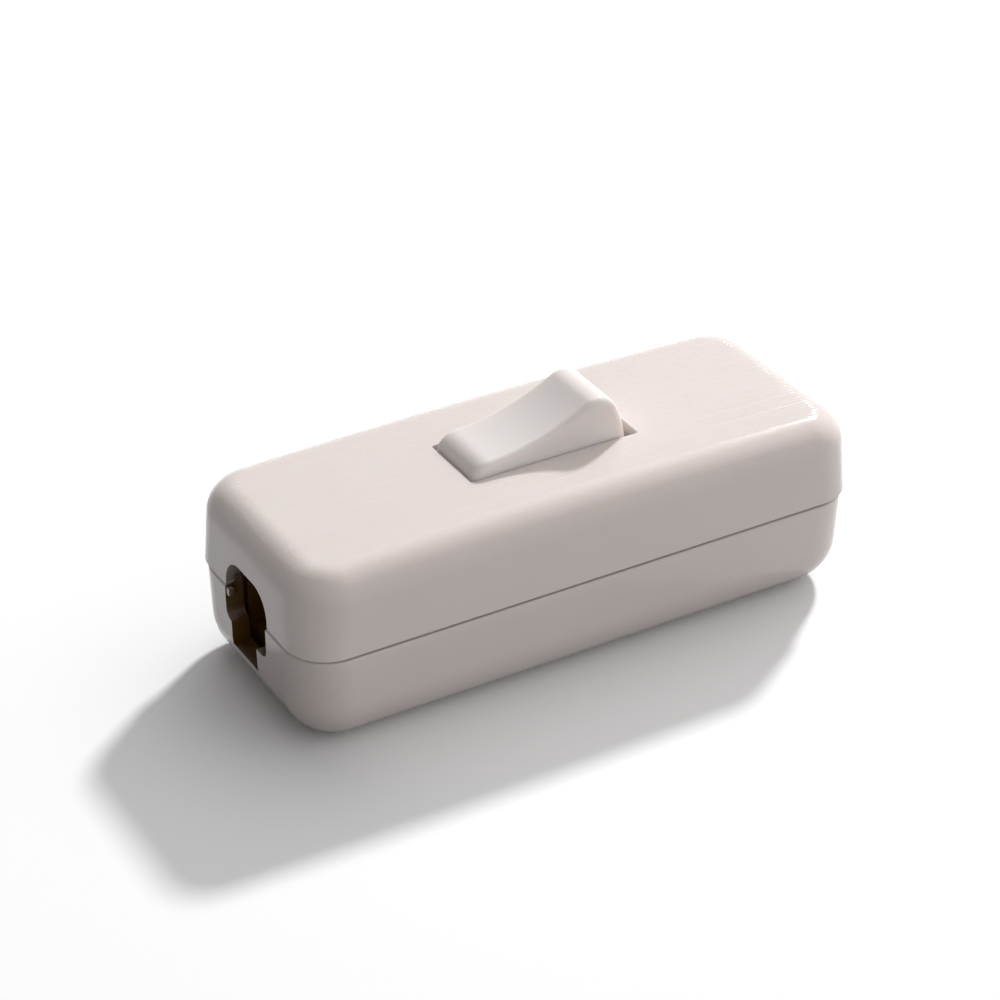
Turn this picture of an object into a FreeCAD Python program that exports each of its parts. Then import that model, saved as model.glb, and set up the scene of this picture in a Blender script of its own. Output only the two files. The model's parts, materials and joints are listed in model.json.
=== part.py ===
import FreeCAD, Part
import math
import os

# Inline cord switch in millimetres. X runs along the cord, Y across the case, Z up.
# The origin is at the middle of the underside.

# Case, outside
body_length = 60.0
body_width = 24.0
base_height = 10.0
cover_height = 8.5
crown = 0.55
cover_draft_deg = 1.4
base_draft_deg = 0.3
base_inset = 0.1
rim_corner_radius = 4.2
base_corner_radius = 4.6
far_corner_radius = 5.4
top_edge_radius = 3.2
bottom_edge_radius = 5.0
seam_reveal = 0.3
seam_chamfer = 0.15

# Case, walls and the joint between cover and base
wall = 1.8
top_wall = 1.6
floor_thickness = 1.8
lip_thickness = 0.9
lip_height = 1.2
lip_side_clearance = 0.1
lip_top_clearance = 0.15

# Cord entries, measured from the joint between cover and base
arch_half_width = 4.2
arch_height = 3.75
arch_corner_radius = 2.8
arch_foot_width = 0.5
arch_foot_height = 0.7
notch_half_width = 4.15
notch_offset = 0.55
notch_depth = 3.4
notch_corner_radius = 1.0
slot_half_width = 2.6
slot_offset = 1.1
slot_depth = 5.9
key_width = 0.6
key_height = 0.9
key_thickness = 0.6

# Rocker, in its own frame about the pivot; its offset is from the case's middle along the cord
rocker_tilt_deg = 16.0
rocker_offset = 0.5
pivot_depth = 2.65
rocker_half_width = 3.65
rocker_foot_half_length = 8.15
rocker_waist_half_length = 8.35
rocker_waist_height = 1.5
rocker_tip_height = 6.4
rocker_dish_height = 5.15
rocker_end_arc_radius = 20.0
rocker_skirt_depth = 1.0
rocker_tip_radius = 2.3
rocker_edge_radius = 0.7
rocker_wall = 1.2
rocker_pocket_height = 3.5
rocker_rib_thickness = 0.3
rocker_boss_radius = 2.6
rocker_boss_depth = 3.0
pivot_radius = 1.15
pivot_length = 1.35
pivot_clearance = 0.05
pivot_end_clearance = 0.15

# Window and pivot cheeks in the cover
window_end_clearance = 0.7
window_side_clearance = 0.15
window_corner_radius = 0.3
cheek_thickness = 2.0
cheek_half_length = 3.2
cheek_depth = 3.6
snap_slot_half_width = 0.95

# Plunger and its spring, in the rocker's bore
bore_radius = 1.6
bore_top_height = 3.3
plunger_clearance = 0.08
plunger_head_top = -0.4
plunger_head_length = 3.0
nose_center_depth = 5.5
nose_radius = 0.9
nose_clearance = 0.03
spring_wire_radius = 0.2
spring_mean_radius = 1.1
spring_turns = 5

# Contact lever: a see-saw with both arms bent up
lever_axis_depth = 7.9
lever_ratio = 0.535
lever_arm_rise_deg = 15.5
lever_arm_length = 7.5
lever_half_width = 1.8
lever_thickness = 0.5
saddle_clearance = 0.04
saddle_wrap_depth = 0.4
contact_position = 6.4
lever_contact_radius = 1.0
lever_contact_height = 0.55
fixed_contact_radius = 1.3
fixed_contact_height = 0.6
contact_gap = 0.06
stop_position = 6.2
stop_gap = 0.1
stop_thickness = 1.2

# Terminals
strip_thickness = 0.8
terminal_length = 5.2
terminal_width = 5.0
terminal_height = 6.0
terminal_gap = 1.6
wire_hole_radius = 1.4
wire_hole_height = 2.2
wire_hole_depth = 4.4
neutral_width = 3.4
neutral_height = 4.8
neutral_hole_depth = 6.5
neutral_screw_inset = 3.2
pocket_gap = 0.15
pocket_rib = 1.0
pocket_rib_height = 2.6
pocket_stop_height = 0.7

# Screws
screw_clearance = 0.05
terminal_screw_radius = 1.3
terminal_screw_head_radius = 2.0
terminal_screw_head_height = 1.5
neutral_screw_head_radius = 1.6
case_screw_radius = 1.25
case_screw_head_radius = 2.1
case_screw_head_height = 1.8
case_screw_length = 11.0
case_boss_radius = 3.1
case_boss_gap = 0.4
counterbore_depth = 4.0
counterbore_clearance = 0.2
screw_slot_width = 0.6
screw_slot_depth = 0.7
cross_slot_share = 0.6
screw_edge_radius = 0.3

# Cord grips
grip_length = 4.0
grip_end_gap = 0.6
grip_thickness = 1.8
grip_half_width = 8.4
grip_post_width = 3.6
grip_head_gap = 0.6
grip_rib_thickness = 1.0
grip_rib_depth = 0.8
grip_rib_half_width = 3.6
grip_edge_radius = 0.4
grip_screw_radius = 1.1
grip_screw_head_radius = 1.7
grip_screw_head_height = 1.3
grip_screw_hole_depth = 7.0
grip_screw_tip_gap = 1.0
saddle_rib_count = 2
saddle_rib_thickness = 0.9
saddle_rib_rise = 3.2

# Working allowances: how far a cut runs past a face, and how closely an edge is found by its height
cut_overrun = 1.0
pick_tolerance = 0.01
travel_steps = 20

# Places worked out from the sizes above
V = FreeCAD.Vector
top_z = base_height + cover_height + crown
ceiling_z = base_height + cover_height - top_wall
cover_rim_z = base_height + seam_reveal
pivot_z = top_z - pivot_depth
pivot = V(rocker_offset, 0, pivot_z)
lever_axis_z = pivot_z - lever_axis_depth
lever_axis = V(rocker_offset, 0, lever_axis_z)
lever_tilt_deg = rocker_tilt_deg * lever_ratio

base_length = body_length - 2 * base_inset
base_width = body_width - 2 * base_inset
inner_half_length = base_length / 2 - wall
inner_half_width = base_width / 2 - wall
floor_half_width = inner_half_width - (bottom_edge_radius - wall)

window_half_length = rocker_waist_half_length + window_end_clearance
window_half_width = rocker_half_width + window_side_clearance

grip_x = inner_half_length - grip_end_gap - grip_length / 2
grip_screw_y = grip_half_width - grip_post_width / 2
grip_post_top = ceiling_z - grip_head_gap - grip_screw_head_height - grip_thickness
case_screw_x = grip_x - grip_length / 2 - case_boss_gap - case_boss_radius
terminal_x = case_screw_x - case_boss_radius - terminal_gap - terminal_length / 2
terminal_y = -floor_half_width + pocket_rib + pocket_gap + terminal_width / 2
terminal_top = floor_thickness + terminal_height
wire_z = floor_thickness + wire_hole_height
neutral_half_length = terminal_x + terminal_length / 2
neutral_y = floor_half_width - pocket_gap - neutral_width / 2
neutral_top = floor_thickness + neutral_height
neutral_screw_x = neutral_half_length - neutral_screw_inset


def nose_distance(share):
    """Height of the nose centre over the lower arm's plane through the lever axis, at a share of the tilt."""
    tilt = math.radians(rocker_tilt_deg * share)
    arm = math.radians(lever_arm_rise_deg - lever_tilt_deg * share)
    return lever_axis_depth * math.cos(arm) - nose_center_depth * math.cos(tilt - arm)


nose_path = [nose_distance(step / travel_steps) for step in range(travel_steps + 1)]
lever_top = min(nose_path) - nose_radius - nose_clearance
lever_under = lever_top - lever_thickness
saddle_radius = lever_under - saddle_clearance
low_arm = math.radians(lever_arm_rise_deg - lever_tilt_deg)
lever_contact_face = lever_under - lever_contact_height
fixed_contact_top = (
    lever_axis_z
    + (contact_position - lever_contact_radius) * math.sin(low_arm)
    + lever_contact_face * math.cos(low_arm)
    - contact_gap
)
contact_reach = contact_position * math.cos(low_arm) - lever_contact_face * math.sin(low_arm)
fixed_contact_x = rocker_offset - contact_reach
stop_x = rocker_offset + stop_position * math.cos(low_arm) - lever_under * math.sin(low_arm)
stop_top = (
    lever_axis_z
    + (stop_position - stop_thickness) * math.sin(low_arm)
    + lever_under * math.cos(low_arm)
    - stop_gap
)


def line(start, end):
    return Part.LineSegment(start, end).toShape()


def arc(start, middle, end):
    return Part.Arc(start, middle, end).toShape()


def rounded_rect(length, width, radius, z):
    """Closed outline centred on the Z axis."""
    centres = [
        V(sx * (length / 2 - radius), sy * (width / 2 - radius), z)
        for sx, sy in ((1, 1), (-1, 1), (-1, -1), (1, -1))
    ]

    def point(corner, degrees):
        angle = math.radians(degrees)
        return centres[corner % 4] + V(radius * math.cos(angle), radius * math.sin(angle), 0)

    edges = []
    for corner in range(4):
        start = 90 * corner
        edges.append(arc(point(corner, start), point(corner, start + 45), point(corner, start + 90)))
        edges.append(line(point(corner, start + 90), point(corner + 1, start + 90)))
    return Part.Wire(edges)


def tapered_block(low, high):
    """Solid between two rounded outlines, each given as length, width, corner radius and height."""
    return Part.makeLoft([rounded_rect(*low), rounded_rect(*high)], True, True)


def box(x_range, y_range, z_range):
    corner = V(x_range[0], y_range[0], z_range[0])
    return Part.makeBox(
        x_range[1] - x_range[0], y_range[1] - y_range[0], z_range[1] - z_range[0], corner
    )


def upright_cylinder(x, y, z_range, radius):
    return Part.makeCylinder(radius, z_range[1] - z_range[0], V(x, y, z_range[0]))


def cylinder_along_x(x_range, y, z, radius):
    return Part.makeCylinder(radius, x_range[1] - x_range[0], V(x_range[0], y, z), V(1, 0, 0))


def cylinder_along_y(x, y_range, z, radius):
    return Part.makeCylinder(radius, y_range[1] - y_range[0], V(x, y_range[0], z), V(0, 1, 0))


def prism_along_y(edges, half_width):
    """Solid from a closed profile in the XZ plane, spread evenly across Y."""
    face = Part.Face(Part.Wire(Part.__sortEdges__(edges)))
    face.translate(V(0, -half_width, 0))
    return face.extrude(V(0, 2 * half_width, 0))


def case_block(length, width, corners, z_range, draft_deg):
    """Drafted block that narrows away from the rim, given as rim height first and far height second."""
    rim_z, far_z = z_range
    shrink = 2 * abs(far_z - rim_z) * math.tan(math.radians(draft_deg))
    rim = (length, width, corners[0], rim_z)
    far = (length - shrink, width - shrink, corners[1], far_z)
    return tapered_block(far, rim) if far_z < rim_z else tapered_block(rim, far)


def edges_between(shape, z_range):
    return [e for e in shape.Edges if z_range[0] < e.BoundBox.ZMin and e.BoundBox.ZMax < z_range[1]]


def edges_at(shape, z):
    return edges_between(shape, (z - pick_tolerance, z + pick_tolerance))


def chamfer_rim(block, length, width, corner_radius, rim_z, direction):
    """Block with its outer joint edge bevelled at 45 degrees; direction points away from the joint."""
    reach = base_height + cover_height + 2 * crown
    corner = corner_radius - seam_chamfer
    rim = (length - 2 * seam_chamfer, width - 2 * seam_chamfer, corner, rim_z)
    far = (rim[0] + 2 * reach, rim[1] + 2 * reach, corner + reach, rim_z + direction * reach)
    envelope = tapered_block(rim, far) if direction > 0 else tapered_block(far, rim)
    return block.common(envelope)


def end_prism(outline):
    """Cut through both end walls from a closed YZ outline, which the right end has turned half round."""
    face = Part.Face(Part.Wire(Part.__sortEdges__(outline)))
    face.translate(V(-body_length, 0, 0))
    reach = body_length - (inner_half_length - grip_end_gap)
    left = face.extrude(V(reach, 0, 0))
    right = left.copy()
    right.rotate(V(0, 0, 0), V(0, 0, 1), 180)
    return left.fuse(right)


def cord_arch():
    """Rounded arch of the cover's half of a cord entry, with a small foot at the joint."""
    foot = arch_half_width + arch_foot_width
    corner = arch_half_width - arch_corner_radius
    bend = arch_corner_radius * math.sqrt(0.5)
    shoulder_z = base_height + arch_height - arch_corner_radius
    foot_z = base_height + arch_foot_height
    crest_z = base_height + arch_height
    outline = [
        line(V(0, -foot, base_height), V(0, foot, base_height)),
        line(V(0, corner, crest_z), V(0, -corner, crest_z)),
    ]
    for side in (-1, 1):
        outline += [
            line(V(0, side * foot, base_height), V(0, side * arch_half_width, foot_z)),
            line(V(0, side * arch_half_width, foot_z), V(0, side * arch_half_width, shoulder_z)),
            arc(
                V(0, side * arch_half_width, shoulder_z),
                V(0, side * (corner + bend), shoulder_z + bend),
                V(0, side * corner, crest_z),
            ),
        ]
    return end_prism(outline)


def cord_notch():
    """Wide notch with rounded lower corners, for the base's half of a cord entry."""
    low_z = base_height - notch_depth
    corner = notch_half_width - notch_corner_radius
    bend = notch_corner_radius * math.sqrt(0.5)
    round_z = low_z + notch_corner_radius
    top = base_height + lip_height

    def point(across, z):
        return V(0, notch_offset + across, z)

    outline = [
        line(point(-notch_half_width, top), point(notch_half_width, top)),
        line(point(-corner, low_z), point(corner, low_z)),
    ]
    for side in (-1, 1):
        wall_foot = point(side * notch_half_width, round_z)
        outline += [
            line(point(side * notch_half_width, top), wall_foot),
            arc(wall_foot, point(side * (corner + bend), round_z - bend), point(side * corner, low_z)),
        ]
    return end_prism(outline)


def cord_slot():
    """Narrow slot below the notch, down towards the floor."""
    low_z = base_height - slot_depth
    near_y = slot_offset - slot_half_width
    far_y = slot_offset + slot_half_width
    outline = [
        line(V(0, near_y, low_z), V(0, far_y, low_z)),
        line(V(0, far_y, low_z), V(0, far_y, base_height)),
        line(V(0, far_y, base_height), V(0, near_y, base_height)),
        line(V(0, near_y, base_height), V(0, near_y, low_z)),
    ]
    return end_prism(outline)


def make_screw(head_radius, head_height, shank_radius, shank_length, slots=1):
    """Round-headed screw standing on its seat at the origin, head up, with one slot or a cross."""
    head = Part.makeCylinder(head_radius, head_height)
    head = head.makeFillet(screw_edge_radius, edges_at(head, head_height))
    shank = Part.makeCylinder(shank_radius, shank_length, V(0, 0, -shank_length))
    screw = head.fuse(shank).removeSplitter()
    for turn in range(slots):
        reach = cross_slot_share * head_radius if slots > 1 else head_radius + cut_overrun
        slot = box(
            (-reach, reach),
            (-screw_slot_width / 2, screw_slot_width / 2),
            (head_height - screw_slot_depth, head_height + cut_overrun),
        )
        slot.rotate(V(0, 0, 0), V(0, 0, 1), 90 * turn)
        screw = screw.cut(slot)
    return screw


def make_base():
    outer = case_block(
        base_length, base_width, (base_corner_radius, far_corner_radius), (base_height, 0), base_draft_deg
    )
    outer = outer.makeFillet(bottom_edge_radius, edges_at(outer, 0))
    outer = chamfer_rim(outer, base_length, base_width, base_corner_radius, base_height, -1)
    cavity = case_block(
        2 * inner_half_length,
        2 * inner_half_width,
        (rim_corner_radius - wall, far_corner_radius - wall),
        (base_height, floor_thickness),
        base_draft_deg,
    )
    cavity = cavity.makeFillet(bottom_edge_radius - wall, edges_at(cavity, floor_thickness))
    base = outer.cut(cavity)

    lip_length = 2 * inner_half_length + 2 * lip_thickness
    lip_width = 2 * inner_half_width + 2 * lip_thickness
    lip_corner = rim_corner_radius - wall + lip_thickness
    lip_bottom = base_height - lip_height
    lip_top = base_height + lip_height
    lip_size = (lip_length, lip_width, lip_corner)
    lip = tapered_block((*lip_size, lip_bottom), (*lip_size, lip_top))
    hollow_size = (2 * inner_half_length, 2 * inner_half_width, rim_corner_radius - wall)
    lip = lip.cut(tapered_block((*hollow_size, lip_bottom), (*hollow_size, lip_top)))
    base = base.fuse(lip)
    base = base.cut(cord_notch().fuse(cord_slot()))

    added = []
    for side in (-1, 1):
        notch_edge = notch_offset + notch_half_width
        key_y = sorted((-side * (notch_edge - key_width), -side * (notch_edge + wall)))
        key_x = sorted((side * (base_length / 2 - base_inset), side * (base_length / 2 - key_thickness)))
        added.append(box(key_x, key_y, (base_height - key_height, base_height - seam_chamfer)))
        grip_span = (side * grip_x - grip_length / 2, side * grip_x + grip_length / 2)
        for row in (-1, 1):
            post_y = (row * grip_screw_y - grip_post_width / 2, row * grip_screw_y + grip_post_width / 2)
            added.append(box(grip_span, post_y, (floor_thickness / 2, grip_post_top)))
        for rib in range(saddle_rib_count):
            rib_x = side * grip_x + (rib + 0.5 - saddle_rib_count / 2) * grip_length / saddle_rib_count
            rib_span = (rib_x - saddle_rib_thickness / 2, rib_x + saddle_rib_thickness / 2)
            rib_y = (-grip_screw_y, grip_screw_y)
            added.append(box(rib_span, rib_y, (floor_thickness / 2, floor_thickness + saddle_rib_rise)))
        boss_z = (floor_thickness / 2, base_height)
        added.append(upright_cylinder(side * case_screw_x, 0, boss_z, case_boss_radius))
        block_x = (side * terminal_x - terminal_length / 2, side * terminal_x + terminal_length / 2)
        rib_y = terminal_y - terminal_width / 2 - pocket_gap
        rib_z = (floor_thickness / 2, floor_thickness + pocket_rib_height)
        added.append(box(block_x, (rib_y - pocket_rib, rib_y), rib_z))
        stop_y = (neutral_y - neutral_width / 2, neutral_y + neutral_width / 2)
        stop_start = neutral_half_length + pocket_gap
        stop_span = sorted((side * stop_start, side * (stop_start + pocket_rib)))
        added.append(box(stop_span, stop_y, (floor_thickness / 2, floor_thickness + pocket_stop_height)))
    lever_stop = box(
        (stop_x - stop_thickness / 2, stop_x + stop_thickness / 2),
        (-lever_half_width, lever_half_width),
        (floor_thickness / 2, stop_top),
    )
    base = base.fuse(added + [lever_stop])

    cuts = []
    counterbore_radius = case_screw_head_radius + counterbore_clearance
    shank_hole_radius = case_screw_radius + screw_clearance
    grip_hole_z = (grip_post_top - grip_screw_hole_depth, grip_post_top + cut_overrun)
    grip_hole_radius = grip_screw_radius + screw_clearance
    for side in (-1, 1):
        x = side * case_screw_x
        cuts.append(upright_cylinder(x, 0, (-cut_overrun, counterbore_depth), counterbore_radius))
        cuts.append(upright_cylinder(x, 0, (0, base_height + cut_overrun), shank_hole_radius))
        for row in (-1, 1):
            cuts.append(upright_cylinder(side * grip_x, row * grip_screw_y, grip_hole_z, grip_hole_radius))
    return base.cut(Part.makeCompound(cuts)).removeSplitter()


def make_top_cover():
    rim_size = (body_length, body_width)
    outer = case_block(
        *rim_size, (rim_corner_radius, far_corner_radius), (cover_rim_z, top_z + crown), cover_draft_deg
    )
    end_z = base_height + cover_height
    half = body_length / 2
    profile = [
        arc(V(-half, 0, end_z), V(0, 0, top_z), V(half, 0, end_z)),
        line(V(half, 0, end_z), V(half, 0, cover_rim_z)),
        line(V(half, 0, cover_rim_z), V(-half, 0, cover_rim_z)),
        line(V(-half, 0, cover_rim_z), V(-half, 0, end_z)),
    ]
    outer = outer.common(prism_along_y(profile, body_width))
    outer = outer.makeFillet(top_edge_radius, edges_between(outer, (end_z - crown, top_z + crown)))
    outer = chamfer_rim(outer, *rim_size, rim_corner_radius, cover_rim_z, 1)

    cavity = case_block(
        body_length - 2 * wall,
        body_width - 2 * wall,
        (rim_corner_radius - wall, far_corner_radius - wall),
        (base_height, ceiling_z),
        cover_draft_deg,
    )
    cavity = cavity.makeFillet(top_edge_radius - top_wall, edges_at(cavity, ceiling_z))
    cover = outer.cut(cavity)

    rebate_grow = 2 * (lip_thickness + lip_side_clearance)
    rebate_size = (
        2 * inner_half_length + rebate_grow,
        2 * inner_half_width + rebate_grow,
        rim_corner_radius - wall + rebate_grow / 2,
    )
    rebate_top = base_height + lip_height + lip_top_clearance
    cover = cover.cut(tapered_block((*rebate_size, base_height - lip_height), (*rebate_size, rebate_top)))
    cover = cover.cut(cord_arch())

    added = []
    cheek_x = (rocker_offset - cheek_half_length, rocker_offset + cheek_half_length)
    for side in (-1, 1):
        cheek_y = sorted((side * window_half_width, side * (window_half_width + cheek_thickness)))
        cheek_z = (ceiling_z - cheek_depth, ceiling_z + top_wall / 2)
        added.append(box(cheek_x, cheek_y, cheek_z))
        boss_z = (base_height, ceiling_z + top_wall / 2)
        added.append(upright_cylinder(side * case_screw_x, 0, boss_z, case_boss_radius))
    cover = cover.fuse(added)

    cheek_low = ceiling_z - cheek_depth - cut_overrun
    window = tapered_block(
        (2 * window_half_length, 2 * window_half_width, window_corner_radius, cheek_low),
        (2 * window_half_length, 2 * window_half_width, window_corner_radius, top_z + cut_overrun),
    )
    window.translate(V(rocker_offset, 0, 0))
    socket_half = rocker_half_width + pivot_length + pivot_end_clearance
    socket_y = (-socket_half, socket_half)
    socket = cylinder_along_y(rocker_offset, socket_y, pivot_z, pivot_radius + pivot_clearance)
    snap_slot_x = (rocker_offset - snap_slot_half_width, rocker_offset + snap_slot_half_width)
    snap_slot = box(snap_slot_x, socket_y, (cheek_low, pivot_z))
    cuts = [window, socket, snap_slot]
    pilot_z = (base_height - cut_overrun, counterbore_depth + case_screw_length + screw_clearance)
    pilot_radius = case_screw_radius + screw_clearance
    for side in (-1, 1):
        cuts.append(upright_cylinder(side * case_screw_x, 0, pilot_z, pilot_radius))
    for cut in cuts:
        cover = cover.cut(cut)
    return cover.removeSplitter()


def rocker_end_point(height, side):
    """Point on the rounded end face at a height above the pivot."""
    centre_x = rocker_waist_half_length - rocker_end_arc_radius
    rise = height - rocker_waist_height
    return V(side * (centre_x + math.sqrt(rocker_end_arc_radius**2 - rise**2)), 0, height)


def make_rocker():
    """Rocker level about its pivot at the origin."""
    waist_mid = (rocker_waist_height + rocker_tip_height) / 2
    foot = V(rocker_foot_half_length, 0, -rocker_skirt_depth)
    tips = [rocker_end_point(rocker_tip_height, side) for side in (-1, 1)]
    profile = [
        line(V(-foot.x, 0, foot.z), foot),
        arc(tips[0], V(0, 0, rocker_dish_height), tips[1]),
    ]
    for side, tip in zip((-1, 1), tips):
        waist = rocker_end_point(rocker_waist_height, side)
        profile += [
            line(V(side * foot.x, 0, foot.z), waist),
            arc(waist, rocker_end_point(waist_mid, side), tip),
        ]
    rocker = prism_along_y(profile, rocker_half_width)
    across = [e for e in rocker.Edges if e.BoundBox.YLength > rocker_half_width]
    tip_edges = [e for e in across if e.BoundBox.ZMin > rocker_dish_height]
    rocker = rocker.makeFillet(rocker_tip_radius, tip_edges)
    side_edges = []
    for edge in rocker.Edges:
        above_waist = edge.BoundBox.ZMax > rocker_waist_height + pick_tolerance
        if above_waist and edge.BoundBox.YLength < rocker_edge_radius:
            side_edges.append(edge)
    rocker = rocker.makeFillet(rocker_edge_radius, side_edges)

    pocket_y = rocker_half_width - rocker_wall
    pocket_end = rocker_foot_half_length - rocker_wall
    for side in (-1, 1):
        pocket_x = sorted((side * (rocker_boss_radius + rocker_rib_thickness), side * pocket_end))
        rocker = rocker.cut(
            box(pocket_x, (-pocket_y, pocket_y), (-rocker_skirt_depth - cut_overrun, rocker_pocket_height))
        )
    stub_half = rocker_half_width + pivot_length
    boss = Part.makeCylinder(rocker_boss_radius, rocker_boss_depth, V(0, 0, -rocker_boss_depth))
    rocker = rocker.fuse([cylinder_along_y(0, (-stub_half, stub_half), 0, pivot_radius), boss])
    bore = upright_cylinder(0, 0, (-rocker_boss_depth - cut_overrun, bore_top_height), bore_radius)
    return rocker.cut(bore).removeSplitter()


def make_plunger():
    """Round-nosed pin under the rocker's pivot, in the level rocker's frame."""
    head_radius = bore_radius - plunger_clearance
    head_low = plunger_head_top - plunger_head_length
    head = Part.makeCylinder(head_radius, plunger_head_length, V(0, 0, head_low))
    shank = Part.makeCylinder(nose_radius, nose_center_depth + head_low, V(0, 0, -nose_center_depth))
    nose = Part.makeSphere(nose_radius, V(0, 0, -nose_center_depth))
    return head.fuse([shank, nose]).removeSplitter()


def make_plunger_spring():
    """Open coil between the plunger's head and the top of the bore."""
    length = bore_top_height - plunger_head_top
    rise = length - 2 * spring_wire_radius
    pitch = rise / spring_turns
    helix = Part.makeHelix(pitch, rise, spring_mean_radius)
    start = V(spring_mean_radius, 0, 0)
    along = V(0, 2 * math.pi * spring_mean_radius, pitch)
    section = Part.Wire(Part.makeCircle(spring_wire_radius, start, along))
    spring = Part.Wire(helix.Edges).makePipeShell([section], True, True)
    spring.translate(V(0, 0, plunger_head_top + spring_wire_radius))
    return spring


def arm_strip(side, span, layer):
    """Flat bar along one arm of the level lever: span along the arm, layer across it."""
    strip = box(span, (-lever_half_width, lever_half_width), layer)
    strip.rotate(V(0, 0, 0), V(0, 1, 0), -lever_arm_rise_deg)
    if side < 0:
        strip = strip.mirror(V(0, 0, 0), V(1, 0, 0))
    return strip


def make_contact_lever():
    """Strip with a rolled saddle over its axis at the origin and an arm bent up on each side."""
    roll = cylinder_along_y(0, (-lever_half_width, lever_half_width), 0, lever_top)
    arms = [arm_strip(side, (0, lever_arm_length), (lever_under, lever_top)) for side in (-1, 1)]
    lever = roll.fuse(arms)
    hollow = cylinder_along_y(0, (-2 * lever_half_width, 2 * lever_half_width), 0, lever_under)
    wide_y = (-2 * lever_half_width, 2 * lever_half_width)
    below = box((-lever_top, lever_top), wide_y, (-lever_top, -saddle_wrap_depth))
    return lever.cut(hollow).cut(below).removeSplitter()


def make_lever_contact():
    """Contact button on the underside of the lever's left arm."""
    button = upright_cylinder(contact_position, 0, (lever_contact_face, lever_under), lever_contact_radius)
    button.rotate(V(0, 0, 0), V(0, 1, 0), -lever_arm_rise_deg)
    return button.mirror(V(0, 0, 0), V(1, 0, 0))


def wire_block(side):
    """Pillar terminal block with a wire hole from its outer end and a tapped hole from the top."""
    x_range = (side * terminal_x - terminal_length / 2, side * terminal_x + terminal_length / 2)
    y_range = (terminal_y - terminal_width / 2, terminal_y + terminal_width / 2)
    block = box(x_range, y_range, (floor_thickness, terminal_top))
    outer_x = side * (terminal_x + terminal_length / 2)
    hole_x = sorted((outer_x + side * cut_overrun, outer_x - side * wire_hole_depth))
    block = block.cut(cylinder_along_x(hole_x, terminal_y, wire_z, wire_hole_radius))
    tapped_z = (wire_z, terminal_top + cut_overrun)
    tapped_radius = terminal_screw_radius + screw_clearance
    return block.cut(upright_cylinder(side * terminal_x, terminal_y, tapped_z, tapped_radius))


def make_common_terminal():
    """Upright with a round bead that carries the lever, joined to the right wire block by a floor strip."""
    strip_z = (floor_thickness, floor_thickness + strip_thickness)
    low_y = terminal_y - terminal_width / 2
    strip_y = (low_y, -lever_half_width - pocket_gap)
    foot_x = (rocker_offset - saddle_radius, rocker_offset + saddle_radius)
    strip = box((foot_x[0], terminal_x), strip_y, strip_z)
    foot = box(foot_x, (low_y, lever_half_width), strip_z)
    lever_y = (-lever_half_width, lever_half_width)
    upright_x = (rocker_offset - strip_thickness / 2, rocker_offset + strip_thickness / 2)
    upright = box(upright_x, lever_y, (floor_thickness, lever_axis_z))
    bead = cylinder_along_y(rocker_offset, lever_y, lever_axis_z, saddle_radius)
    return wire_block(1).fuse([strip, foot, upright, bead]).removeSplitter()


def make_switched_terminal():
    """Post under the fixed contact, joined to the left wire block by a strip on the floor."""
    post_top = fixed_contact_top - fixed_contact_height
    y_range = (-fixed_contact_radius, fixed_contact_radius)
    inner_x = fixed_contact_x + strip_thickness / 2
    strip = box(
        (-terminal_x, inner_x),
        (terminal_y, fixed_contact_radius),
        (floor_thickness, floor_thickness + strip_thickness),
    )
    post = box((inner_x - strip_thickness, inner_x), y_range, (floor_thickness, post_top))
    shelf = box(
        (fixed_contact_x - fixed_contact_radius, fixed_contact_x + fixed_contact_radius),
        y_range,
        (post_top - strip_thickness, post_top),
    )
    return wire_block(-1).fuse([strip, post, shelf]).removeSplitter()


def make_neutral_bar():
    """Through connector with a wire hole and a tapped hole at each end."""
    bar = box(
        (-neutral_half_length, neutral_half_length),
        (neutral_y - neutral_width / 2, neutral_y + neutral_width / 2),
        (floor_thickness, neutral_top),
    )
    for side in (-1, 1):
        end_x = side * neutral_half_length
        hole_x = sorted((end_x + side * cut_overrun, end_x - side * neutral_hole_depth))
        bar = bar.cut(cylinder_along_x(hole_x, neutral_y, wire_z, wire_hole_radius))
        tapped_z = (wire_z, neutral_top + cut_overrun)
        tapped_radius = terminal_screw_radius + screw_clearance
        bar = bar.cut(upright_cylinder(side * neutral_screw_x, neutral_y, tapped_z, tapped_radius))
    return bar


def make_cord_grip(side):
    """Clamp bar across the two posts, with a pressing rib under its middle."""
    x_range = (side * grip_x - grip_length / 2, side * grip_x + grip_length / 2)
    bar = box(x_range, (-grip_half_width, grip_half_width), (grip_post_top, grip_post_top + grip_thickness))
    bar = bar.makeFillet(grip_edge_radius, edges_at(bar, grip_post_top + grip_thickness))
    rib_x = (side * grip_x - grip_rib_thickness / 2, side * grip_x + grip_rib_thickness / 2)
    rib_y = (-grip_rib_half_width, grip_rib_half_width)
    bar = bar.fuse(box(rib_x, rib_y, (grip_post_top - grip_rib_depth, grip_post_top)))
    for row in (-1, 1):
        hole_z = (grip_post_top - cut_overrun, grip_post_top + grip_thickness + cut_overrun)
        hole_radius = grip_screw_radius + screw_clearance
        bar = bar.cut(upright_cylinder(side * grip_x, row * grip_screw_y, hole_z, hole_radius))
    return bar.removeSplitter()


def make_cord_grip_screws(side):
    length = grip_thickness + grip_screw_hole_depth - grip_screw_tip_gap
    screws = []
    for row in (-1, 1):
        screw = make_screw(grip_screw_head_radius, grip_screw_head_height, grip_screw_radius, length)
        screw.translate(V(side * grip_x, row * grip_screw_y, grip_post_top + grip_thickness))
        screws.append(screw)
    return Part.makeCompound(screws)


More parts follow.
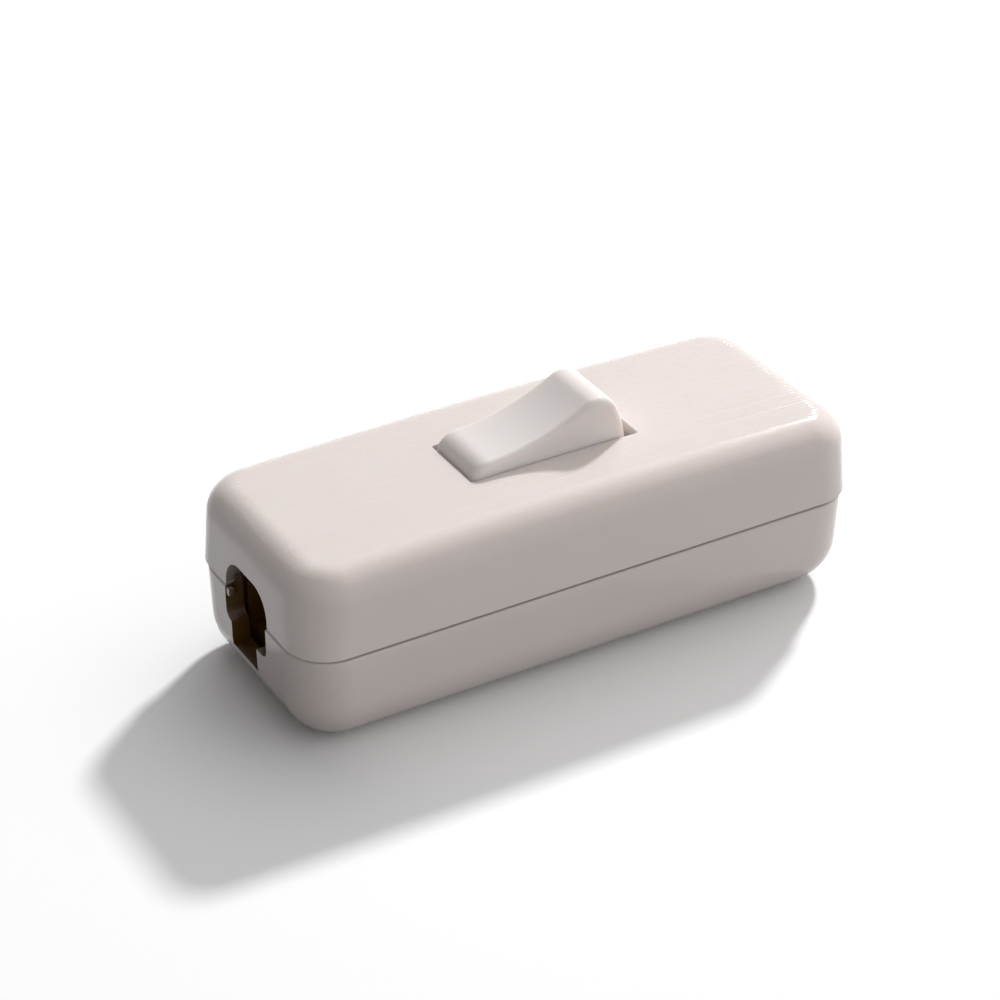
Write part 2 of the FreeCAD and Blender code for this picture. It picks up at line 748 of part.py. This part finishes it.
def make_case_screw(side):
    """Cross-slotted screw, head down in the base's counterbore."""
    screw = make_screw(
        case_screw_head_radius, case_screw_head_height, case_screw_radius, case_screw_length, slots=2
    )
    screw.rotate(V(0, 0, 0), V(1, 0, 0), 180)
    screw.translate(V(side * case_screw_x, 0, counterbore_depth))
    return screw


def make_terminal_screw(seat, head_radius):
    """Slotted screw, head up on its seat, down to the middle of the wire hole."""
    screw = make_screw(head_radius, terminal_screw_head_height, terminal_screw_radius, seat.z - wire_z)
    screw.translate(seat)
    return screw


def live_seat(side):
    return V(side * terminal_x, terminal_y, terminal_top)


def neutral_seat(side):
    return V(side * neutral_screw_x, neutral_y, neutral_top)


def at_rest(shape, centre, degrees):
    """Shape moved from the origin to its pivot and turned about Y to its rest pose."""
    placed = shape.copy()
    placed.translate(centre)
    placed.rotate(centre, V(0, 1, 0), degrees)
    return placed


# The rocker rests with its left end down, which holds the lever's right arm down
rocker_rest_deg = -rocker_tilt_deg
lever_rest_deg = lever_tilt_deg

fixed_contact = upright_cylinder(
    fixed_contact_x, 0, (fixed_contact_top - fixed_contact_height, fixed_contact_top), fixed_contact_radius
)

nodes = {
    "top_cover": make_top_cover(),
    "base": make_base(),
    "rocker": at_rest(make_rocker(), pivot, rocker_rest_deg),
    "plunger": at_rest(make_plunger(), pivot, rocker_rest_deg),
    "plunger_spring": at_rest(make_plunger_spring(), pivot, rocker_rest_deg),
    "contact_lever": at_rest(make_contact_lever(), lever_axis, lever_rest_deg),
    "lever_contact": at_rest(make_lever_contact(), lever_axis, lever_rest_deg),
    "common_terminal": make_common_terminal(),
    "switched_terminal": make_switched_terminal(),
    "fixed_contact": fixed_contact,
    "neutral_bar": make_neutral_bar(),
    "common_terminal_screw": make_terminal_screw(live_seat(1), terminal_screw_head_radius),
    "switched_terminal_screw": make_terminal_screw(live_seat(-1), terminal_screw_head_radius),
    "neutral_screw_in": make_terminal_screw(neutral_seat(1), neutral_screw_head_radius),
    "neutral_screw_out": make_terminal_screw(neutral_seat(-1), neutral_screw_head_radius),
    "cord_grip_left": make_cord_grip(-1),
    "cord_grip_right": make_cord_grip(1),
    "cord_grip_screws_left": make_cord_grip_screws(-1),
    "cord_grip_screws_right": make_cord_grip_screws(1),
    "case_screw_left": make_case_screw(-1),
    "case_screw_right": make_case_screw(1),
}

os.makedirs("parts", exist_ok=True)
for name, shape in nodes.items():
    shape.exportStep(f"parts/{name}.step")
    print(f"{name}: {len(shape.Solids)} solid(s), {shape.Volume:.1f} cubic mm, valid {shape.isValid()}")
print(f"rocker pivot at z {pivot_z:.3f}, lever axis at z {lever_axis_z:.3f}")
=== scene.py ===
# %% [markdown]
# An inline cord switch, dressed for a studio picture.
# The CAD model gives every piece its shape, size and place, so this lesson starts by loading it as a fixed frame.
# What is left for Blender is what the eye reads as "real": fine moulded lines, plastics, metals, light and camera.

# %% Load the frame
import json
import math

import bmesh
import bpy
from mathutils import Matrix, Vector, noise


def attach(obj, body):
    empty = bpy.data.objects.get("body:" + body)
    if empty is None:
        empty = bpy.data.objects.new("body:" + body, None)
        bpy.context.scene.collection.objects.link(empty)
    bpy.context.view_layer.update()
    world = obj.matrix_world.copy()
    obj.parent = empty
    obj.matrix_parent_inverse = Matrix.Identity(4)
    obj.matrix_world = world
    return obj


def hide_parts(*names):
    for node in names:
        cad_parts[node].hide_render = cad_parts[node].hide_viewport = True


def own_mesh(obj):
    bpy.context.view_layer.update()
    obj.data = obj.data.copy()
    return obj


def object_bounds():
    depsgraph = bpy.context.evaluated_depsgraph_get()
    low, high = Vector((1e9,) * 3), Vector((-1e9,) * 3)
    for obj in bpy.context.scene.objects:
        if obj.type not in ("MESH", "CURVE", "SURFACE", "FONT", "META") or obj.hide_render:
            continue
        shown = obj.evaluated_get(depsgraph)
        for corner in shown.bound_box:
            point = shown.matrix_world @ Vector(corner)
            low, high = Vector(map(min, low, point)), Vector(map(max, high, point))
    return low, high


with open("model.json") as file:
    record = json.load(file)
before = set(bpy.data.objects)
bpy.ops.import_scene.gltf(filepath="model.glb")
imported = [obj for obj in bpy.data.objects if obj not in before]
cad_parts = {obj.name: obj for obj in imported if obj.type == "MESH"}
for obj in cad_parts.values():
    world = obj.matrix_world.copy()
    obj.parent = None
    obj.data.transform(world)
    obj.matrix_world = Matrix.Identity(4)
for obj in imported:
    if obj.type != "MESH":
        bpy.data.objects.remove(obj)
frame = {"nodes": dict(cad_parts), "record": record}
nodes = frame["nodes"]
record = frame["record"]
cad_box = [list(corner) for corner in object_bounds()]
MM = 0.001


def in_mm(box):
    """The two corners of a box in millimetres, rounded for printing."""
    return [[round(value / MM, 2) for value in corner] for corner in box]


print("CAD box in mm:", in_mm(cad_box))

# %% [markdown]
# Colours are easiest to pick as the hex values of a paint card, which are sRGB, while shaders want linear light.
# One function turns the first into the second. One makes an empty material to build in.
# One more adds a shader node: it takes the node's kind, its settings and the values or links of its inputs,
# so that each material below reads as a short list of what feeds what.

# %% Helpers: a colour, a material and a node


def linear(hex_colour):
    """An sRGB hex value as linear red, green, blue and alpha."""
    channels = [int(hex_colour[i : i + 2], 16) / 255 for i in (1, 3, 5)]
    bent = [c / 12.92 if c <= 0.04045 else ((c + 0.055) / 1.055) ** 2.4 for c in channels]
    return (*bent, 1.0)


def empty_material(name):
    """A new material and its node tree, with nothing in it."""
    material = bpy.data.materials.new(name)
    material.use_nodes = True
    material.node_tree.nodes.clear()
    return material, material.node_tree


def add_node(tree, kind, inputs=None, **settings):
    """A node with its settings; an input is a plain value, or an output socket to link from."""
    node = tree.nodes.new("ShaderNode" + kind)
    for name, value in settings.items():
        setattr(node, name, value)
    for name, value in (inputs or {}).items():
        if isinstance(value, bpy.types.NodeSocket):
            tree.links.new(value, node.inputs[name])
        else:
            node.inputs[name].default_value = value
    return node


print("warm white card:", [round(c, 3) for c in linear("#E2D7D3")])

# %% [markdown]
# The camera stands where the photograph was taken from: about 27 cm away, 30 degrees left of the front and looking
# down at 32 degrees, with a long lens that keeps the long edges nearly parallel.
# A camera can be aimed with a constraint, but a quaternion made from the viewing direction is plain and exact.

# %% Camera
VIEW_TURN = -0.5275
VIEW_HEIGHT = 0.556
CAMERA_PLACE = Vector((-119.0005, -198.5643, 156.2835)) * MM
FOCAL_MM = 103.41
SENSOR_MM = 36.0
NEAREST_SEEN = 10 * MM

scene = bpy.context.scene
toward_camera = Vector(
    (
        math.sin(VIEW_TURN) * math.cos(VIEW_HEIGHT),
        -math.cos(VIEW_TURN) * math.cos(VIEW_HEIGHT),
        math.sin(VIEW_HEIGHT),
    )
)
camera_data = bpy.data.cameras.new("studio_camera")
camera_data.lens = FOCAL_MM
camera_data.sensor_width = SENSOR_MM
camera_data.clip_start = NEAREST_SEEN
camera = bpy.data.objects.new("studio_camera", camera_data)
camera.location = CAMERA_PLACE
camera.rotation_mode = "QUATERNION"
camera.rotation_quaternion = (-toward_camera).to_track_quat("-Z", "Y")
scene.collection.objects.link(camera)
scene.camera = camera
print("camera at", [round(value, 4) for value in camera.location], "lens", FOCAL_MM)

# %% [markdown]
# Deep inside the case light reaches the eye only after several bounces, and each one takes more blue than red, so the
# cord's way through the case looks brown. A renderer follows few of those bounces.
# Painting the inner faces darker with a second material would end in a hard edge. An ambient occlusion node gives a
# soft change: it measures how much of the view from a point its own piece leaves open, and where that is little the
# plastic's colour is led towards brown. This brown is painted shade.
# This is done along the cord's way only, which reaches 6 mm to each side and 14 mm up, so that the seam and the rim of
# the rocker's window stay pale.

# %% How open a point of the case lies
LOOK_AROUND = 15 * MM
LOOK_COUNT = 8
CLOSED_SHARE = 0.72
OPEN_SHARE = 0.95
CORD_WAY_HALF_WIDTH = 6 * MM
CORD_WAY_HEIGHT = 14 * MM
CORD_WAY_EDGE = 0.5 * MM


def openness(tree, place):
    """One where a point lies open or off the cord's way, and zero where it is closed in along that way."""
    # this is the mask of the painted shade: how much of the view its own piece leaves open
    around = add_node(tree, "AmbientOcclusion", {"Distance": LOOK_AROUND}, only_local=True, samples=LOOK_COUNT)
    seen = add_node(
        tree, "MapRange", {"Value": around.outputs["AO"], "From Min": CLOSED_SHARE, "From Max": OPEN_SHARE}
    )
    split = add_node(tree, "SeparateXYZ", {"Vector": place})
    aside = add_node(tree, "Math", {0: split.outputs["Y"]}, operation="ABSOLUTE")
    result = seen.outputs["Result"]
    limits = ((aside.outputs["Value"], CORD_WAY_HALF_WIDTH), (split.outputs["Z"], CORD_WAY_HEIGHT))
    for reach, limit in limits:
        beyond = add_node(
            tree,
            "MapRange",
            {"Value": reach, "From Min": limit - CORD_WAY_EDGE, "From Max": limit + CORD_WAY_EDGE},
        )
        larger = add_node(tree, "Math", {0: result, 1: beyond.outputs["Result"]}, operation="MAXIMUM")
        result = larger.outputs["Value"]
    return result


print("cord's way:", round(2 * CORD_WAY_HALF_WIDTH / MM), "mm wide,", round(CORD_WAY_HEIGHT / MM), "mm high")

# %% [markdown]
# The case and the rocker are moulded in ABS. Moulded plastic isn't one flat colour: pigment is spread a little
# unevenly, the tool's fine spark-eroded grain breaks up the gloss, and thin walls let some light through, warmer than
# it came.
# A plain colour with one roughness would look like paint. So the colour wanders a percent or two over a centimetre, a
# fine grain feeds roughness and bump, and subsurface scattering softens the thin edges.

# %% Moulded ABS
PIGMENT_CLOUD = 12 * MM
CLOUD_DETAIL = 2.0
# the tool's grain is about 0.05 mm; it is drawn at 0.25 mm so that it still shows
MOULD_GRAIN = 0.25 * MM
GRAIN_DETAIL = 3.0
GRAIN_STRENGTH = 0.5
ABS_IOR = 1.53
SHINE = 0.35
# painted shade: the brown that the plastic is led to where it is closed in along the cord's way
PAINTED_SHADE_BROWN = "#5E3F10"
LIGHT_REACH = 1.8 * MM
# red light goes furthest through the plastic, and blue the least far
LIGHT_REACH_BY_COLOUR = (1.0, 0.62, 0.4)


def gloss_and_relief(tree, pattern, gloss_range, strength, depth):
    """A shader's roughness and normal inputs, both led by one pattern."""
    gloss = add_node(tree, "MapRange", {"Value": pattern, "To Min": gloss_range[0], "To Max": gloss_range[1]})
    relief = add_node(tree, "Bump", {"Height": pattern, "Strength": strength, "Distance": depth})
    return {"Roughness": gloss.outputs["Result"], "Normal": relief.outputs["Normal"]}


def moulded_plastic(name, pale, deep, gloss_range, grain_depth, glow):
    """Moulded plastic between two close tones, with a roughness range, a grain depth and a share of scattered light."""
    material, tree = empty_material(name)
    place = add_node(tree, "TexCoord").outputs["Object"]
    clouds = add_node(tree, "TexNoise", {"Vector": place, "Scale": 1 / PIGMENT_CLOUD, "Detail": CLOUD_DETAIL})
    tone = add_node(
        tree, "Mix", {"Factor": clouds.outputs["Fac"], "A": linear(pale), "B": linear(deep)}, data_type="RGBA"
    )
    opened = openness(tree, place)
    # painted shade: the colour goes towards that brown where the point is closed in
    shade = add_node(
        tree, "Mix", {"Factor": opened, "A": linear(PAINTED_SHADE_BROWN), "B": tone.outputs["Result"]}, data_type="RGBA"
    )
    # where a point is closed in, its gloss is turned down as well: painted shade on the reflection, as nothing bright
    # is there
    shine = add_node(tree, "Math", {0: opened, 1: SHINE}, operation="MULTIPLY")
    grain = add_node(tree, "TexNoise", {"Vector": place, "Scale": 1 / MOULD_GRAIN, "Detail": GRAIN_DETAIL})
    shader = add_node(
        tree,
        "BsdfPrincipled",
        {
            "Base Color": shade.outputs["Result"],
            **gloss_and_relief(tree, grain.outputs["Fac"], gloss_range, GRAIN_STRENGTH, grain_depth),
            "IOR": ABS_IOR,
            "Specular IOR Level": shine.outputs["Value"],
            "Subsurface Weight": glow,
            "Subsurface Radius": LIGHT_REACH_BY_COLOUR,
            "Subsurface Scale": LIGHT_REACH,
        },
    )
    add_node(tree, "OutputMaterial", {"Surface": shader.outputs["BSDF"]})
    return material


# moulded in a finely finished tool: ivory white, with small highlights that are nearly crisp
case_abs = moulded_plastic(
    "moulded_abs_ivory", "#E3D9D5", "#DFD4D0", gloss_range=(0.11, 0.15), grain_depth=0.001 * MM, glow=0.25
)
# moulded in a cooler white that lets more light in: brighter, with soft edges
rocker_abs = moulded_plastic(
    "moulded_abs_cool_white", "#EBE5E3", "#E7E0DE", gloss_range=(0.14, 0.20), grain_depth=0.001 * MM, glow=0.5
)
# moulded in a coarse tool: dull, with hardly a highlight
grip_abs = moulded_plastic(
    "moulded_abs_matt", "#D8CFC9", "#CEC5BF", gloss_range=(0.50, 0.62), grain_depth=0.006 * MM, glow=0.05
)
print("plastics:", case_abs.name, rocker_abs.name, grip_abs.name)

# %% [markdown]
# The top of the cover is reeded: shallow lines about half a millimetre apart run along the cord, from end to end.
# A bump texture could draw them, but then the exported mesh would be smooth, so they are cut into the mesh.
# This cell works out how deep each point lies: a cosine across the lines, whose depth wanders along each line, as on a
# tool ground by hand. The lines fade out towards the sides and where the surface bends down, at the left end sooner
# than at the right, and they grow deeper towards the right end.

# %% How deep the lines are
LINE_PITCH = 0.47 * MM
LINE_DEPTH = 0.03 * MM
# shares of the depth at the left end and gained by the right end, and where the gain starts and stops
LEFT_DEPTH = 0.7
DEPTH_GAIN = 0.5
GAIN_FROM = -20 * MM
GAIN_TO = 25 * MM
# uneven stretches are some 8 mm long and one line wide
WANDER = 0.6
WANDER_LENGTH = 8 * MM
WANDER_LAYER = 0.5
# upward part of the surface's direction, from no lines to full lines
LEFT_FADE = (0.94, 0.998)
RIGHT_FADE = (0.86, 0.985)
REEDED_HALF_WIDTH = 9.0 * MM
FADE_WIDTH = 0.6 * MM


def smooth_step(value, low, high):
    """Zero below low and one above high, with a soft start and stop."""
    share = min(1.0, max(0.0, (value - low) / (high - low)))
    return share * share * (3 - 2 * share)


def line_relief(point, normal):
    """How far a point of the top lies below the smooth surface."""
    phase = 2 * math.pi * point.y / LINE_PITCH
    across = 1 - smooth_step(abs(point.y), REEDED_HALF_WIDTH - FADE_WIDTH, REEDED_HALF_WIDTH)
    upward = smooth_step(normal.z, *(LEFT_FADE if point.x < 0 else RIGHT_FADE))
    deeper = LEFT_DEPTH + DEPTH_GAIN * smooth_step(point.x, GAIN_FROM, GAIN_TO)
    uneven = noise.noise((point.x / WANDER_LENGTH, point.y / LINE_PITCH, WANDER_LAYER))
    return LINE_DEPTH * deeper * (0.5 - 0.5 * math.cos(phase)) * (1 + WANDER * uneven) * across * upward


print("lines every", round(LINE_PITCH / MM, 2), "mm, about", round(LINE_DEPTH / MM, 2), "mm deep")

# %% [markdown]
# Lines this fine need edges along each of them. Subdividing the whole cover would give far too many faces, so a copy of
# its CAD mesh is sliced only on the top, by parallel planes, four to a line.
# Cross slices keep the faces short, which lets the depth change along a line.
# A slice that passes very close to an old edge leaves a sliver, which would shade as a speck, so slivers are dissolved.

# %% Slice the top
CUTS_PER_LINE = 4
CROSS_PITCH = 1.5 * MM
WELD = 0.0005 * MM
SLICE_GRIP = WELD / 10
SLIVER = 0.004 * MM
TOP_HEIGHT = 19.05 * MM
SHOULDER_DROP = 3.4 * MM
TOP_SLOPE = 0.4


def looks_up(face):
    """Whether a face belongs to the top and not to a wall."""
    return face.normal.z > TOP_SLOPE


shoulder_z = cad_box[0][2] + TOP_HEIGHT - SHOULDER_DROP
cut_mesh = bmesh.new()
cut_mesh.from_mesh(nodes["top_cover"].data)
bmesh.ops.remove_doubles(cut_mesh, verts=cut_mesh.verts, dist=WELD)
cut_mesh.normal_update()
top_faces = [face for face in cut_mesh.faces if looks_up(face) and face.calc_center_median().z > shoulder_z]
slicing = set(top_faces)
for face in top_faces:
    slicing.update(face.edges)
    slicing.update(face.verts)
slicing = list(slicing)

line_step = LINE_PITCH / CUTS_PER_LINE
half_count = int(REEDED_HALF_WIDTH / LINE_PITCH * CUTS_PER_LINE)
cross_count = int(cad_box[1][0] / CROSS_PITCH)
slices = [((0, step * line_step, 0), (0, 1, 0)) for step in range(-half_count, half_count + 1)]
slices += [((step * CROSS_PITCH, 0, 0), (1, 0, 0)) for step in range(-cross_count, cross_count + 1)]
for point, across in slices:
    sliced = bmesh.ops.bisect_plane(cut_mesh, geom=slicing, plane_co=point, plane_no=across, dist=SLICE_GRIP)
    slicing = sliced["geom"]
sliced_edges = [e for e in slicing if isinstance(e, bmesh.types.BMEdge)]
bmesh.ops.dissolve_degenerate(cut_mesh, dist=SLIVER, edges=sliced_edges)
cut_mesh.normal_update()
print("sliced the top with", len(slices), "planes into", len(cut_mesh.faces), "faces")

# %% [markdown]
# Now each point of the top is let down by its depth. Points only move up and down, so the window keeps its outline.
# Faces of more than four corners are no longer flat after that, so those of the top are cut into triangles.
# Round faces shade as one, and edges that bend more than the lines do stay crisp.
# A weighted-normal modifier lets large faces lead the shading, so that thin faces beside them don't bend it.

# %% Reeded cover
SHARP_ANGLE = math.radians(28)


def top_normal(vert):
    """The mean direction of the faces at a point that look up, without the walls of the window."""
    return sum((face.normal for face in vert.link_faces if looks_up(face)), Vector()).normalized()


top_points = [v for v in cut_mesh.verts if v.co.z > shoulder_z and any(map(looks_up, v.link_faces))]
shifts = [(vert, line_relief(vert.co, top_normal(vert))) for vert in top_points]
for vert, shift in shifts:
    vert.co.z -= shift
uneven_faces = [face for face in cut_mesh.faces if len(face.verts) > 4 and looks_up(face)]
bmesh.ops.triangulate(cut_mesh, faces=uneven_faces)
cut_mesh.normal_update()
for face in cut_mesh.faces:
    face.smooth = True
for edge in cut_mesh.edges:
    edge.smooth = edge.calc_face_angle(0.0) < SHARP_ANGLE

reeded_mesh = bpy.data.meshes.new("top_cover_reeded")
cut_mesh.to_mesh(reeded_mesh)
cut_mesh.free()
reeded_mesh.materials.append(case_abs)
reeded_cover = bpy.data.objects.new("top_cover_reeded", reeded_mesh)
scene.collection.objects.link(reeded_cover)
steady = reeded_cover.modifiers.new("even_shading", "WEIGHTED_NORMAL")
steady.keep_sharp = True
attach(reeded_cover, "case")
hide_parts("top_cover")
print("reeded cover:", len(reeded_mesh.polygons), "faces, deepest", round(max(s for _, s in shifts) / MM, 3), "mm")

# %% [markdown]
# Inside are stamped brass, zinc-plated screws, a drawn steel spring and silver contacts. Little of it shows, through
# the cord entries and round the rocker, but metal without texture looks like plaster even there.
# A metal's look is its colour and how its reflection is smeared. Anisotropic gloss could smear it along the work
# direction, but fine noise stretched that way also wanders the tone and the roughness, as rolling and drawing marks do.

# %% Worked metals
MARK_DETAIL = 3.0
MARK_STRENGTH = 0.3
MARK_DEPTH = 0.01 * MM
# a pattern scaled down along one axis is drawn out along it
ALONG_STRIP = (0.15, 1.0, 1.0)
ALONG_SCREW = (1.0, 1.0, 0.4)
ALL_WAYS = (1.0, 1.0, 1.0)


def worked_metal(name, bright, dull, gloss_range, mark_width, stretch):
    """Metal with fine working marks of a given width, longer along one axis."""
    material, tree = empty_material(name)
    place = add_node(tree, "TexCoord").outputs["Object"]
    drawn_out = add_node(tree, "Mapping", {"Vector": place, "Scale": stretch}).outputs["Vector"]
    noise_inputs = {"Vector": drawn_out, "Scale": 1 / mark_width, "Detail": MARK_DETAIL}
    marks = add_node(tree, "TexNoise", noise_inputs).outputs["Fac"]
    tone = add_node(tree, "Mix", {"Factor": marks, "A": linear(bright), "B": linear(dull)}, data_type="RGBA")
    shader = add_node(
        tree,
        "BsdfPrincipled",
        {
            "Base Color": tone.outputs["Result"],
            **gloss_and_relief(tree, marks, gloss_range, MARK_STRENGTH, MARK_DEPTH),
            "Metallic": 1.0,
        },
    )
    add_node(tree, "OutputMaterial", {"Surface": shader.outputs["BSDF"]})
    return material


# rolled and stamped strip: a warm sheen with marks along the strip
stamped_brass = worked_metal(
    "stamped_brass", "#D9B56A", "#B98F47", gloss_range=(0.24, 0.40), mark_width=0.3 * MM, stretch=ALONG_STRIP
)
# plated screws: a cool, slightly cloudy grey
zinc_steel = worked_metal(
    "zinc_plated_steel", "#CFD0CC", "#B4B6B4", gloss_range=(0.28, 0.44), mark_width=0.4 * MM, stretch=ALONG_SCREW
)
# drawn wire: darker, with a tight sheen
drawn_steel = worked_metal(
    "drawn_spring_steel", "#B9BABB", "#8F9091", gloss_range=(0.22, 0.36), mark_width=0.2 * MM, stretch=ALL_WAYS
)
# pressed contact buttons: the palest and smoothest of the four
contact_silver = worked_metal(
    "pressed_silver", "#E2DFD8", "#C9C5BC", gloss_range=(0.18, 0.32), mark_width=0.3 * MM, stretch=ALL_WAYS
)
print("metals:", stamped_brass.name, zinc_steel.name, drawn_steel.name, contact_silver.name)

# %% [markdown]
# The plunger is natural nylon, a little yellower and duller than the case.
# The CAD nodes keep their shapes. Each could be dressed by name, but the record already says which finish a piece has,
# so each takes its material by the record's slot name.

# %% Dress the CAD nodes
# moulded without pigment: cream, with a waxy sheen
natural_nylon = moulded_plastic(
    "moulded_nylon_natural", "#DDD3BD", "#D2C7AF", gloss_range=(0.38, 0.5), grain_depth=0.004 * MM, glow=0.1
)
finishes = {
    "case_plastic": case_abs,
    "rocker_plastic": rocker_abs,
    "grip_plastic": grip_abs,
    "plunger_nylon": natural_nylon,
    "spring_steel": drawn_steel,
    "lever_brass": stamped_brass,
    "terminal_brass": stamped_brass,
    "contact_silver": contact_silver,
    "zinc_steel": zinc_steel,
}
for part in record["subparts"]:
    mesh = nodes[part["node"]].data
    mesh.materials.clear()
    mesh.materials.append(finishes[part["material_slot"]])
print("dressed", len(record["subparts"]), "CAD nodes")

# %% [markdown]
# The coil spring stands between the rocker and the plunger's head, one end resting in the rocker. When the plunger is
# pushed in, a rigid spring would run into the head. Bones or shape keys could shorten it, and the motion is one
# straight slide, but here a copy of its mesh, with a mesh of its own, only takes the CAD spring's place and hangs on
# the rocker; nothing in this script flattens it.

cad_spring = nodes["plunger_spring"]
coil = bpy.data.objects.new("plunger_spring_coil", cad_spring.data.copy())
scene.collection.objects.link(coil)
bpy.context.view_layer.update()
coil.matrix_world = cad_spring.matrix_world.copy()

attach(coil, "rocker")
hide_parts("plunger_spring")
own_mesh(coil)

# %% [markdown]
# The studio has a floor of matt white paper. Paper that white would flood the object with light from below, and a
# darker one would spoil the white background, so a light path node tells the two apart: the floor is white where the
# camera or a reflection looks at it, and mid grey for the light that it throws on the object.
# Both halves of its material are diffuse, so the object's shadow falls on it either way.

# %% Floor
FLOOR_SIZE = 6.0
PAPER_WHITE = "#FFFFFF"
PAPER_BOUNCE = "#A4A4A4"


def seen_directly(tree):
    """One for rays from the camera, from gloss or through glass, and zero for the rest."""
    path = add_node(tree, "LightPath")
    shiny = add_node(
        tree,
        "Math",
        {0: path.outputs["Is Glossy Ray"], 1: path.outputs["Is Transmission Ray"]},
        operation="MAXIMUM",
    )
    both = add_node(
        tree, "Math", {0: path.outputs["Is Camera Ray"], 1: shiny.outputs["Value"]}, operation="MAXIMUM"
    )
    return both.outputs["Value"]


# matt paper: no gloss, so that only the shadow shows on it
floor_paper, paper = empty_material("studio_paper_white")
bounced = add_node(paper, "BsdfDiffuse", {"Color": linear(PAPER_BOUNCE)})
looked_at = add_node(paper, "BsdfDiffuse", {"Color": linear(PAPER_WHITE)})
either = add_node(
    paper, "MixShader", {0: seen_directly(paper), 1: bounced.outputs["BSDF"], 2: looked_at.outputs["BSDF"]}
)
add_node(paper, "OutputMaterial", {"Surface": either.outputs["Shader"]})

half = FLOOR_SIZE / 2
corners = [(-half, -half, 0), (half, -half, 0), (half, half, 0), (-half, half, 0)]
floor_mesh = bpy.data.meshes.new("studio_floor")
floor_mesh.from_pydata(corners, [], [(0, 1, 2, 3)])
floor_mesh.materials.append(floor_paper)
floor = bpy.data.objects.new("studio_floor", floor_mesh)
scene.collection.objects.link(floor)
print("floor", FLOOR_SIZE, "m wide")

# %% [markdown]
# The room round the floor is white where it is seen. The light that it throws is brightest on the right in front and
# fades to dark behind on the left, which makes the front of the case lighter than its left end.
# A card or a lamp at the front would do that too, but its reflection would show as a spot on the glossy case.

# %% Room
BRIGHT_SIDE = (0.73, -0.68, 0.0)
BRIGHTEST = 1.0
DARK_FROM = -0.66
ROOM_WHITE = "#FFFFFF"
SEEN_STRENGTH = 1.0

world = bpy.data.worlds.new("studio_surround")
world.use_nodes = True
scene.world = world
sky = world.node_tree
sky.nodes.clear()
toward = add_node(sky, "TexCoord").outputs["Generated"]
facing = add_node(sky, "VectorMath", {0: toward, 1: BRIGHT_SIDE}, operation="DOT_PRODUCT")
level = add_node(
    sky,
    "MapRange",
    {"Value": facing.outputs["Value"], "From Min": DARK_FROM, "From Max": 1.0, "To Max": BRIGHTEST},
)
thrown = add_node(sky, "Background", {"Color": linear(ROOM_WHITE), "Strength": level.outputs["Result"]})
seen_white = add_node(sky, "Background", {"Color": linear(ROOM_WHITE), "Strength": SEEN_STRENGTH})
surround = add_node(
    sky,
    "MixShader",
    {0: seen_directly(sky), 1: thrown.outputs["Background"], 2: seen_white.outputs["Background"]},
)
add_node(sky, "OutputWorld", {"Surface": surround.outputs["Shader"]})
print("room light from 0 to", BRIGHTEST)

# %% [markdown]
# A lamp stands behind on the right, about 39 degrees up and 1.1 m away. It draws the shadow to the front left and
# skims the reeded top, which is what makes the fine lines show.
# A wide, weak softbox overhead opens the shadow beside the rocker; the room's own light does the rest.
# Disk-shaped area lamps suit both: their size against their distance sets how soft the shadow's edge is.

# %% Light


def disk_lamp(name, toward, distance, diameter, watts):
    """A round lamp in a given direction from the origin, some metres away and aimed back at it."""
    data = bpy.data.lights.new(name, "AREA")
    data.shape = "DISK"
    data.size = diameter
    data.energy = watts
    lamp = bpy.data.objects.new(name, data)
    direction = Vector(toward).normalized()
    lamp.location = direction * distance
    lamp.rotation_mode = "QUATERNION"
    lamp.rotation_quaternion = direction.to_track_quat("Z", "Y")
    scene.collection.objects.link(lamp)
    return lamp


lamps = [
    disk_lamp("back_right_lamp", (0.6405, 0.441, 0.6285), distance=1.10, diameter=0.11, watts=9.8),
    disk_lamp("overhead_softbox", (0.25, 0.35, 0.90), distance=0.60, diameter=0.50, watts=0.62),
]
scene.view_settings.view_transform = "Standard"
print("lamps in watts:", {lamp.name: round(lamp.data.energy, 2) for lamp in lamps})
